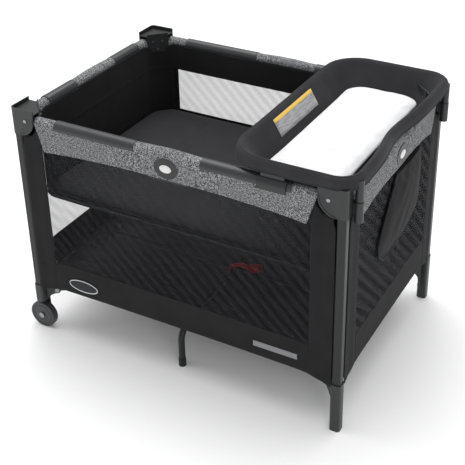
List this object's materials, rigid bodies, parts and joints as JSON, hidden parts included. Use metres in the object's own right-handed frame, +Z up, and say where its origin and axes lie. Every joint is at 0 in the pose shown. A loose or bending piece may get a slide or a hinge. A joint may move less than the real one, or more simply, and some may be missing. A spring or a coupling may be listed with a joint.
{
  "type": "folding play yard",
  "caption": "Folding play yard frame with fabric walls, top-rail latches, a clip-on bassinet with mattress and a lift-off changing station.",
  "frame": {"origin": "on the floor under the middle of the frame", "axes": "+X along the long sides, towards the changing station; +Y towards the back; +Z up"},
  "size_m": [1.054, 0.713, 0.7675],
  "materials": {
    "frame_moulding": "moulded, fine texture",
    "foot_moulding": "moulded",
    "tube_black": "powder coat",
    "tube_grey": "powder coat",
    "pin_steel": "zinc plated",
    "button_white": "satin",
    "tread_black": "moulded",
    "heather_cloth": "woven heather",
    "wall_cloth": "woven with mesh panes",
    "floor_cloth": "woven",
    "pouch_cloth": "woven heather",
    "strap_red": "webbing",
    "mattress_cloth": "quilted",
    "pad_cloth": "quilted",
    "rim_cloth": "woven",
    "clip_plastic": "moulded"
  },
  "bodies": {
    "post_front_right": {"post_front_right": "tube_black", "corner_front_right": "frame_moulding", "foot_front_right": "foot_moulding", "pins_front_right": "pin_steel", "wall_front": "wall_cloth", "wall_right": "wall_cloth", "organiser": "pouch_cloth"},
    "base_tube_front_right": {"base_tube_front_right": "tube_black"},
    "post_front_left": {"post_front_left": "tube_black", "corner_front_left": "frame_moulding", "foot_front_left": "foot_moulding", "pins_front_left": "pin_steel"},
    "base_tube_front_left": {"base_tube_front_left": "tube_black"},
    "post_back_right": {"post_back_right": "tube_black", "corner_back_right": "frame_moulding", "foot_back_right": "foot_moulding", "pins_back_right": "pin_steel"},
    "base_tube_back_right": {"base_tube_back_right": "tube_black"},
    "post_back_left": {"post_back_left": "tube_black", "corner_back_left": "frame_moulding", "foot_back_left": "foot_moulding", "pins_back_left": "pin_steel", "wall_back": "wall_cloth", "wall_left": "wall_cloth"},
    "base_tube_back_left": {"base_tube_back_left": "tube_black"},
    "hub": {"hub": "frame_moulding", "hub_pins": "pin_steel", "lift_strap": "strap_red", "floor_panel": "floor_cloth"},
    "leg_front": {"leg_front": "tube_black"},
    "wheel_front": {"wheel_front": "tread_black"},
    "latch_front": {"latch_front": "frame_moulding", "rail_cover_front": "heather_cloth"},
    "button_front": {"button_front": "button_white"},
    "rail_front_right": {"rail_front_right": "tube_grey"},
    "rail_front_left": {"rail_front_left": "tube_grey"},
    "leg_back": {"leg_back": "tube_black"},
    "wheel_back": {"wheel_back": "tread_black"},
    "latch_back": {"latch_back": "frame_moulding", "rail_cover_back": "heather_cloth"},
    "button_back": {"button_back": "button_white"},
    "rail_back_right": {"rail_back_right": "tube_grey"},
    "rail_back_left": {"rail_back_left": "tube_grey"},
    "latch_left": {"latch_left": "frame_moulding", "rail_cover_left": "heather_cloth"},
    "button_left": {"button_left": "button_white"},
    "rail_left_front": {"rail_left_front": "tube_grey"},
    "rail_left_back": {"rail_left_back": "tube_grey"},
    "latch_right": {"latch_right": "frame_moulding", "rail_cover_right": "heather_cloth"},
    "button_right": {"button_right": "button_white"},
    "rail_right_front": {"rail_right_front": "tube_grey"},
    "rail_right_back": {"rail_right_back": "tube_grey"},
    "bassinet": {"bassinet_shell": "wall_cloth", "bassinet_clips": "clip_plastic"},
    "mattress": {"mattress_pad": "mattress_cloth"},
    "changing_station": {"changer_rim": "tube_grey", "changer_well": "rim_cloth", "changer_pad": "pad_cloth", "changer_mounts": "tube_black"}
  },
  "joints": [
    {"name": "fold", "type": "hinge", "parent": "post_front_right", "child": "base_tube_front_right", "pos_m": [0.4525, -0.301, 0.125], "axis": [0.5336, 0.8457, 0], "range_deg": [0, 80], "deforming": ["wall_front", "wall_right", "wall_back", "wall_left", "rail_cover_front", "rail_cover_back", "rail_cover_left", "rail_cover_right", "floor_panel", "organiser", "lift_strap", "bassinet_shell", "mattress_pad"]},
    {"name": "hub_on_base_tube", "type": "hinge", "parent": "base_tube_front_right", "child": "hub", "pos_m": [0.042, -0.042, 0.125], "axis": [0.5336, 0.8457, 0], "range_deg": [-80, 0]},
    {"name": "base_tube_front_left_pivot", "type": "hinge", "parent": "hub", "child": "base_tube_front_left", "pos_m": [-0.042, -0.042, 0.125], "axis": [0.5336, -0.8457, 0], "range_deg": [0, 80]},
    {"name": "foot_front_left_pivot", "type": "hinge", "parent": "base_tube_front_left", "child": "post_front_left", "pos_m": [-0.4525, -0.301, 0.125], "axis": [0.5336, -0.8457, 0], "range_deg": [-80, 0]},
    {"name": "base_tube_back_right_pivot", "type": "hinge", "parent": "hub", "child": "base_tube_back_right", "pos_m": [0.042, 0.042, 0.125], "axis": [-0.5336, 0.8457, 0], "range_deg": [0, 80]},
    {"name": "foot_back_right_pivot", "type": "hinge", "parent": "base_tube_back_right", "child": "post_back_right", "pos_m": [0.4525, 0.301, 0.125], "axis": [-0.5336, 0.8457, 0], "range_deg": [-80, 0]},
    {"name": "base_tube_back_left_pivot", "type": "hinge", "parent": "hub", "child": "base_tube_back_left", "pos_m": [-0.042, 0.042, 0.125], "axis": [-0.5336, -0.8457, 0], "range_deg": [0, 80]},
    {"name": "foot_back_left_pivot", "type": "hinge", "parent": "base_tube_back_left", "child": "post_back_left", "pos_m": [-0.4525, 0.301, 0.125], "axis": [-0.5336, -0.8457, 0], "range_deg": [-80, 0]},
    {"name": "rail_front_right_pivot", "type": "hinge", "parent": "post_front_right", "child": "rail_front_right", "pos_m": [0.4525, -0.334, 0.706], "axis": [0, -1, 0], "range_deg": [0, 80]},
    {"name": "rail_front_left_pivot", "type": "hinge", "parent": "post_front_left", "child": "rail_front_left", "pos_m": [-0.4525, -0.334, 0.706], "axis": [0, 1, 0], "range_deg": [0, 80]},
    {"name": "rail_back_right_pivot", "type": "hinge", "parent": "post_back_right", "child": "rail_back_right", "pos_m": [0.4525, 0.334, 0.706], "axis": [0, -1, 0], "range_deg": [0, 80]},
    {"name": "rail_back_left_pivot", "type": "hinge", "parent": "post_back_left", "child": "rail_back_left", "pos_m": [-0.4525, 0.334, 0.706], "axis": [0, 1, 0], "range_deg": [0, 80]},
    {"name": "rail_right_front_pivot", "type": "hinge", "parent": "post_front_right", "child": "rail_right_front", "pos_m": [0.4855, -0.301, 0.706], "axis": [-1, 0, 0], "range_deg": [0, 80]},
    {"name": "rail_right_back_pivot", "type": "hinge", "parent": "post_back_right", "child": "rail_right_back", "pos_m": [0.4855, 0.301, 0.706], "axis": [1, 0, 0], "range_deg": [0, 80]},
    {"name": "rail_left_front_pivot", "type": "hinge", "parent": "post_front_left", "child": "rail_left_front", "pos_m": [-0.4855, -0.301, 0.706], "axis": [-1, 0, 0], "range_deg": [0, 80]},
    {"name": "rail_left_back_pivot", "type": "hinge", "parent": "post_back_left", "child": "rail_left_back", "pos_m": [-0.4855, 0.301, 0.706], "axis": [1, 0, 0], "range_deg": [0, 80]},
    {"name": "latch_front_pivot", "type": "hinge", "parent": "rail_front_right", "child": "latch_front", "pos_m": [0.042, -0.334, 0.706], "axis": [0, -1, 0], "range_deg": [-80, 0]},
    {"name": "latch_back_pivot", "type": "hinge", "parent": "rail_back_right", "child": "latch_back", "pos_m": [0.042, 0.334, 0.706], "axis": [0, -1, 0], "range_deg": [-80, 0]},
    {"name": "latch_right_pivot", "type": "hinge", "parent": "rail_right_front", "child": "latch_right", "pos_m": [0.4855, -0.042, 0.706], "axis": [-1, 0, 0], "range_deg": [-80, 0]},
    {"name": "latch_left_pivot", "type": "hinge", "parent": "rail_left_front", "child": "latch_left", "pos_m": [-0.4855, -0.042, 0.706], "axis": [-1, 0, 0], "range_deg": [-80, 0]},
    {"name": "leg_front_pivot", "type": "hinge", "parent": "hub", "child": "leg_front", "pos_m": [-0.014, -0.024, 0.125], "axis": [1, 0, 0], "range_deg": [0, 80]},
    {"name": "leg_back_pivot", "type": "hinge", "parent": "hub", "child": "leg_back", "pos_m": [0.014, 0.024, 0.125], "axis": [-1, 0, 0], "range_deg": [0, 80]},
    {"name": "button_front_press", "type": "slide", "parent": "latch_front", "child": "button_front", "axis": [0, 1, 0], "range_m": [0, 0.004], "stiffness_N_per_m": 600, "springref_m": -0.004},
    {"name": "button_back_press", "type": "slide", "parent": "latch_back", "child": "button_back", "axis": [0, -1, 0], "range_m": [0, 0.004], "stiffness_N_per_m": 600, "springref_m": -0.004},
    {"name": "button_right_press", "type": "slide", "parent": "latch_right", "child": "button_right", "axis": [-1, 0, 0], "range_m": [0, 0.004], "stiffness_N_per_m": 600, "springref_m": -0.004},
    {"name": "button_left_press", "type": "slide", "parent": "latch_left", "child": "button_left", "axis": [1, 0, 0], "range_m": [0, 0.004], "stiffness_N_per_m": 600, "springref_m": -0.004},
    {"name": "wheel_front_roll", "type": "hinge", "parent": "post_front_left", "child": "wheel_front", "pos_m": [-0.4855, -0.334, 0.043], "axis": [0, 1, 0], "continuous": true},
    {"name": "wheel_back_roll", "type": "hinge", "parent": "post_back_left", "child": "wheel_back", "pos_m": [-0.4855, 0.334, 0.043], "axis": [0, 1, 0], "continuous": true},
    {"name": "bassinet_lift", "type": "slide", "parent": "hub", "child": "bassinet", "axis": [0, 0, 1], "range_m": [0, 0.3]},
    {"name": "mattress_lift", "type": "slide", "parent": "bassinet", "child": "mattress", "axis": [0, 0, 1], "range_m": [0, 0.3]},
    {"name": "changing_station_lift", "type": "slide", "parent": "bassinet", "child": "changing_station", "axis": [0, 0, 1], "range_m": [0, 0.3]}
  ],
  "couplings": [
    {"joint": "hub_on_base_tube", "follows": "fold", "ratio": -1},
    {"joint": "base_tube_front_left_pivot", "follows": "fold", "ratio": 1},
    {"joint": "foot_front_left_pivot", "follows": "fold", "ratio": -1},
    {"joint": "base_tube_back_right_pivot", "follows": "fold", "ratio": 1},
    {"joint": "foot_back_right_pivot", "follows": "fold", "ratio": -1},
    {"joint": "base_tube_back_left_pivot", "follows": "fold", "ratio": 1},
    {"joint": "foot_back_left_pivot", "follows": "fold", "ratio": -1},
    {"joint": "rail_front_right_pivot", "follows": "fold", "ratio": 1},
    {"joint": "rail_front_left_pivot", "follows": "fold", "ratio": 1},
    {"joint": "rail_back_right_pivot", "follows": "fold", "ratio": 1},
    {"joint": "rail_back_left_pivot", "follows": "fold", "ratio": 1},
    {"joint": "rail_right_front_pivot", "follows": "fold", "ratio": 1},
    {"joint": "rail_right_back_pivot", "follows": "fold", "ratio": 1},
    {"joint": "rail_left_front_pivot", "follows": "fold", "ratio": 1},
    {"joint": "rail_left_back_pivot", "follows": "fold", "ratio": 1},
    {"joint": "latch_front_pivot", "follows": "fold", "ratio": -1},
    {"joint": "latch_back_pivot", "follows": "fold", "ratio": -1},
    {"joint": "latch_right_pivot", "follows": "fold", "ratio": -1},
    {"joint": "latch_left_pivot", "follows": "fold", "ratio": -1},
    {"joint": "leg_front_pivot", "follows": "fold", "ratio": 1},
    {"joint": "leg_back_pivot", "follows": "fold", "ratio": 1}
  ]
}
